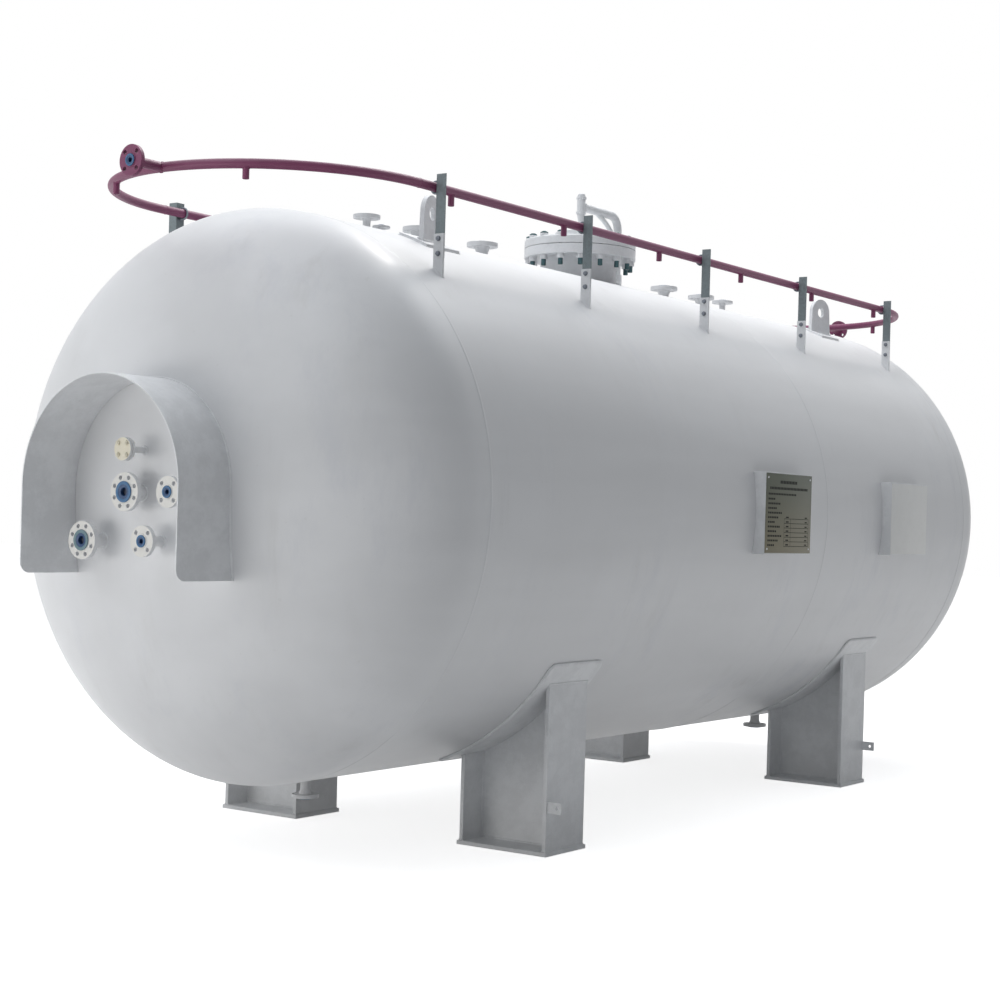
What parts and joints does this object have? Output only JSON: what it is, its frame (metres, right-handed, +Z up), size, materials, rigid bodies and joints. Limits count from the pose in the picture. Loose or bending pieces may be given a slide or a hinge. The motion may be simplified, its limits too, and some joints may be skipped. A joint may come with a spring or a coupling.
{
  "type": "horizontal pressure tank",
  "caption": "White horizontal cylindrical pressure tank on welded legs, with elliptical ends, valve hood, manhole with davit, flanged nozzles and a spray ring above.",
  "frame": {"origin": "on the ground under the middle of the overall length, in the tank's centre plane", "axes": "+X along the tank from the hooded near end to the far end, +Y to the left looking along +X, +Z up"},
  "size_m": [7.0495, 2.657, 3.438],
  "materials": {
    "tank_white": "satin white tank paint",
    "flange_cream": "cream primer on flanges",
    "ring_pipe": "dull maroon primer on pipe",
    "galvanised": "galvanised, dull",
    "cap_plastic": "blue transport cap",
    "stud_coating": "dark coated studs and nuts",
    "gasket": "dark sheet gasket",
    "data_plate": "bare plate, no text",
    "sign_white": "bare white plate"
  },
  "bodies": {
    "root": {"blind_flange": "flange_cream", "bottom_nozzles": "flange_cream", "data_plate": "data_plate", "davit_arm": "tank_white", "davit_screw": "tank_white", "davit_socket": "tank_white", "earthing_lugs": "galvanised", "face_caps": "cap_plastic", "far_head": "tank_white", "head_nozzle_centre": "flange_cream", "head_nozzle_low_left": "flange_cream", "head_nozzle_low_right": "flange_cream", "head_nozzle_right": "flange_cream", "head_nozzle_top": "flange_cream", "leg_base_plates": "tank_white", "leg_inner_plates": "tank_white", "leg_outer_plates": "tank_white", "leg_webs": "tank_white", "lifting_lug_pads": "tank_white", "lifting_lugs": "tank_white", "manhole_cover": "tank_white", "manhole_gasket": "gasket", "manhole_neck": "tank_white", "manhole_studs": "stud_coating", "near_head": "tank_white", "plate_brackets": "tank_white", "post_angles": "galvanised", "post_bars": "tank_white", "ring_bend_far_left": "ring_pipe", "ring_bend_far_right": "ring_pipe", "ring_bend_near_left": "ring_pipe", "ring_bend_near_right": "ring_pipe", "ring_clips": "galvanised", "ring_inlets": "ring_pipe", "ring_run_left": "ring_pipe", "ring_run_right": "ring_pipe", "shell_course_far": "tank_white", "shell_course_near": "tank_white", "sign_plate": "sign_white", "spray_nozzles": "ring_pipe", "top_nozzle_small": "tank_white", "top_nozzles_large": "tank_white", "top_nozzles_medium": "tank_white", "valve_hood": "tank_white", "wear_plates": "tank_white"}
  },
  "joints": []
}
